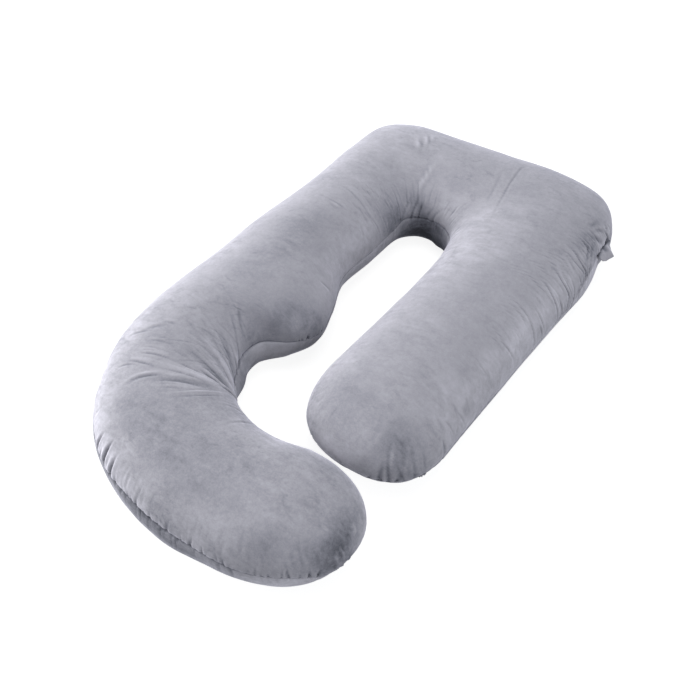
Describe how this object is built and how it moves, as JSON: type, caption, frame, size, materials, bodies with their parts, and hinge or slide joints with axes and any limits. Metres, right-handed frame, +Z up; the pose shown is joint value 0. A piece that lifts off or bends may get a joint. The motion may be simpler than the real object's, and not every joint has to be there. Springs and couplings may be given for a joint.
{
  "type": "body pillow",
  "caption": "G-shaped stuffed body pillow with a straight arm, a lobed arm that curls into a hook, a perimeter seam and a small folded seam tab.",
  "frame": {"origin": "under the middle of the bounding box, on the plane that the pillow lies on", "axes": "+Y along the long arms towards the closed head end, +Z up through the crown, +X from the lobed arm to the straight arm"},
  "size_m": [0.757, 1.3784, 0.188],
  "materials": {
    "cover_velour": "short crystal velvet pile, grey with a lilac cast, matt with a soft rim sheen",
    "tab_velour": "the cover's own short pile cloth, folded double"
  },
  "bodies": {
    "root": {"pillow_body": "cover_velour", "seam_tab": "tab_velour"}
  },
  "joints": []
}
